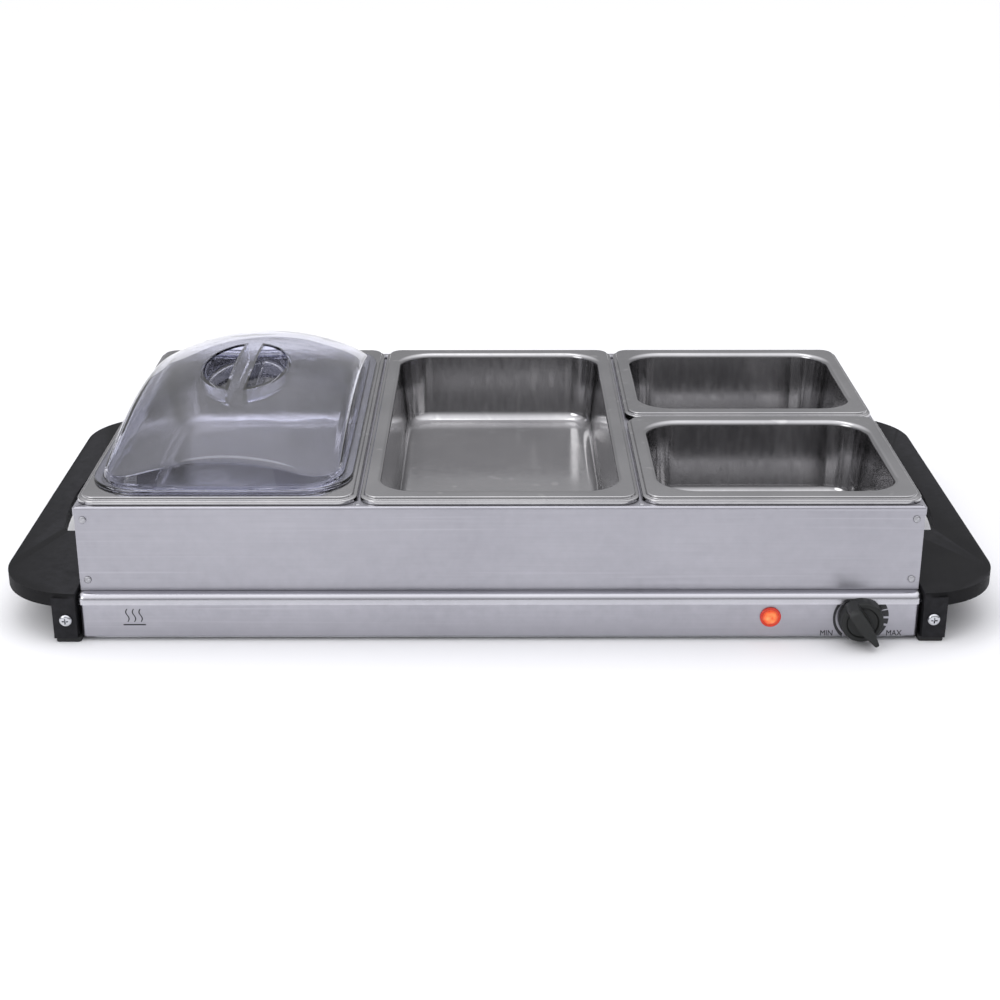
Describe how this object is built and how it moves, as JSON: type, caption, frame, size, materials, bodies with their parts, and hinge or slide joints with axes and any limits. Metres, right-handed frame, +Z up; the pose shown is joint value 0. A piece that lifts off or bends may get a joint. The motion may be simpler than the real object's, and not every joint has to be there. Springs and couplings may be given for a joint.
{
  "type": "electric buffet server",
  "caption": "Low electric warming tray with side handles, a lift-off frame, rimmed steel food pans, a clear domed lid and a rotary heat control.",
  "frame": {"origin": "middle of the bounding box's underside, which is the plane the rubber feet stand on", "axes": "+X to the right along the row of pans, +Y from the control panel to the rear, +Z up"},
  "size_m": [0.6444, 0.3682, 0.1333],
  "materials": {
    "brushed_steel": "stainless sheet with a fine lengthwise brushed grain",
    "drawn_steel": "deep-drawn stainless steel, satin",
    "zinc_steel": "zinc-plated mild steel",
    "aluminium": "mill-finish sheet",
    "black_plastic": "fine-textured heat-resistant moulding",
    "knob_plastic": "smooth satin moulding",
    "black_rubber": "moulded rubber",
    "screw_steel": "bright nickel-plated steel",
    "clear_plastic": "clear moulded plastic with a faint blue tint",
    "red_lens": "translucent red lens",
    "element_sheath": "oxidised steel sheath",
    "white_ceramic": "unglazed ceramic and heat-resistant moulding",
    "red_insulation": "silicone insulation",
    "blue_insulation": "silicone insulation",
    "green_insulation": "silicone insulation"
  },
  "bodies": {
    "base": {"warming_plate": "brushed_steel", "base_housing": "brushed_steel", "bottom_cover": "zinc_steel", "heating_element": "element_sheath", "element_clip_front": "zinc_steel", "element_clip_middle": "zinc_steel", "element_clip_rear": "zinc_steel", "heat_shield": "aluminium", "thermostat_body": "white_ceramic", "thermostat_bracket": "zinc_steel", "thermostat_screw_left": "screw_steel", "thermostat_screw_right": "screw_steel", "indicator_lens": "red_lens", "indicator_body": "white_ceramic", "indicator_nut": "zinc_steel", "terminal_block": "white_ceramic", "thermal_fuse": "zinc_steel", "cord_bush": "black_rubber", "live_wire": "red_insulation", "fuse_wire": "red_insulation", "neutral_wire": "blue_insulation", "earth_wire": "green_insulation", "lamp_wire": "blue_insulation", "handle_right": "black_plastic", "handle_left": "black_plastic", "handle_screw_front_right": "screw_steel", "handle_screw_front_left": "screw_steel", "handle_screw_rear_right": "screw_steel", "handle_screw_rear_left": "screw_steel", "foot_pad_front_right": "black_rubber", "foot_pad_front_left": "black_rubber", "foot_pad_rear_right": "black_rubber", "foot_pad_rear_left": "black_rubber", "cover_screw_front_left": "screw_steel", "cover_screw_front_right": "screw_steel", "cover_screw_rear_left": "screw_steel", "cover_screw_rear_right": "screw_steel"},
    "knob": {"control_knob": "knob_plastic", "thermostat_shaft": "zinc_steel"},
    "frame": {"frame_front_panel": "brushed_steel", "frame_rear_panel": "brushed_steel", "frame_left_panel": "brushed_steel", "frame_right_panel": "brushed_steel", "divider_left": "brushed_steel", "divider_right": "brushed_steel", "divider_cross": "brushed_steel", "rivet_front_left_lower": "screw_steel", "rivet_front_right_lower": "screw_steel", "rivet_rear_left_lower": "screw_steel", "rivet_rear_right_lower": "screw_steel", "rivet_front_left_upper": "screw_steel", "rivet_front_right_upper": "screw_steel", "rivet_rear_left_upper": "screw_steel", "rivet_rear_right_upper": "screw_steel"},
    "pan_left": {"pan_left": "drawn_steel"},
    "pan_middle": {"pan_middle": "drawn_steel"},
    "pan_right_rear": {"pan_right_rear": "drawn_steel"},
    "pan_right_front": {"pan_right_front": "drawn_steel"},
    "lid": {"dome_lid": "clear_plastic"}
  },
  "joints": [
    {"name": "knob_turn", "type": "hinge", "parent": "base", "child": "knob", "pos_m": [0.229, -0.1761, 0.0168], "axis": [0, -1, 0], "range_deg": [0, 290]},
    {"name": "frame_lift", "type": "slide", "parent": "base", "child": "frame", "axis": [0, 0, 1], "range_m": [0, 0.07]},
    {"name": "pan_left_lift", "type": "slide", "parent": "frame", "child": "pan_left", "axis": [0, 0, 1], "range_m": [0, 0.07]},
    {"name": "pan_middle_lift", "type": "slide", "parent": "frame", "child": "pan_middle", "axis": [0, 0, 1], "range_m": [0, 0.07]},
    {"name": "pan_right_rear_lift", "type": "slide", "parent": "frame", "child": "pan_right_rear", "axis": [0, 0, 1], "range_m": [0, 0.07]},
    {"name": "pan_right_front_lift", "type": "slide", "parent": "frame", "child": "pan_right_front", "axis": [0, 0, 1], "range_m": [0, 0.07]},
    {"name": "lid_lift", "type": "slide", "parent": "pan_left", "child": "lid", "axis": [0, 0, 1], "range_m": [0, 0.05]}
  ]
}
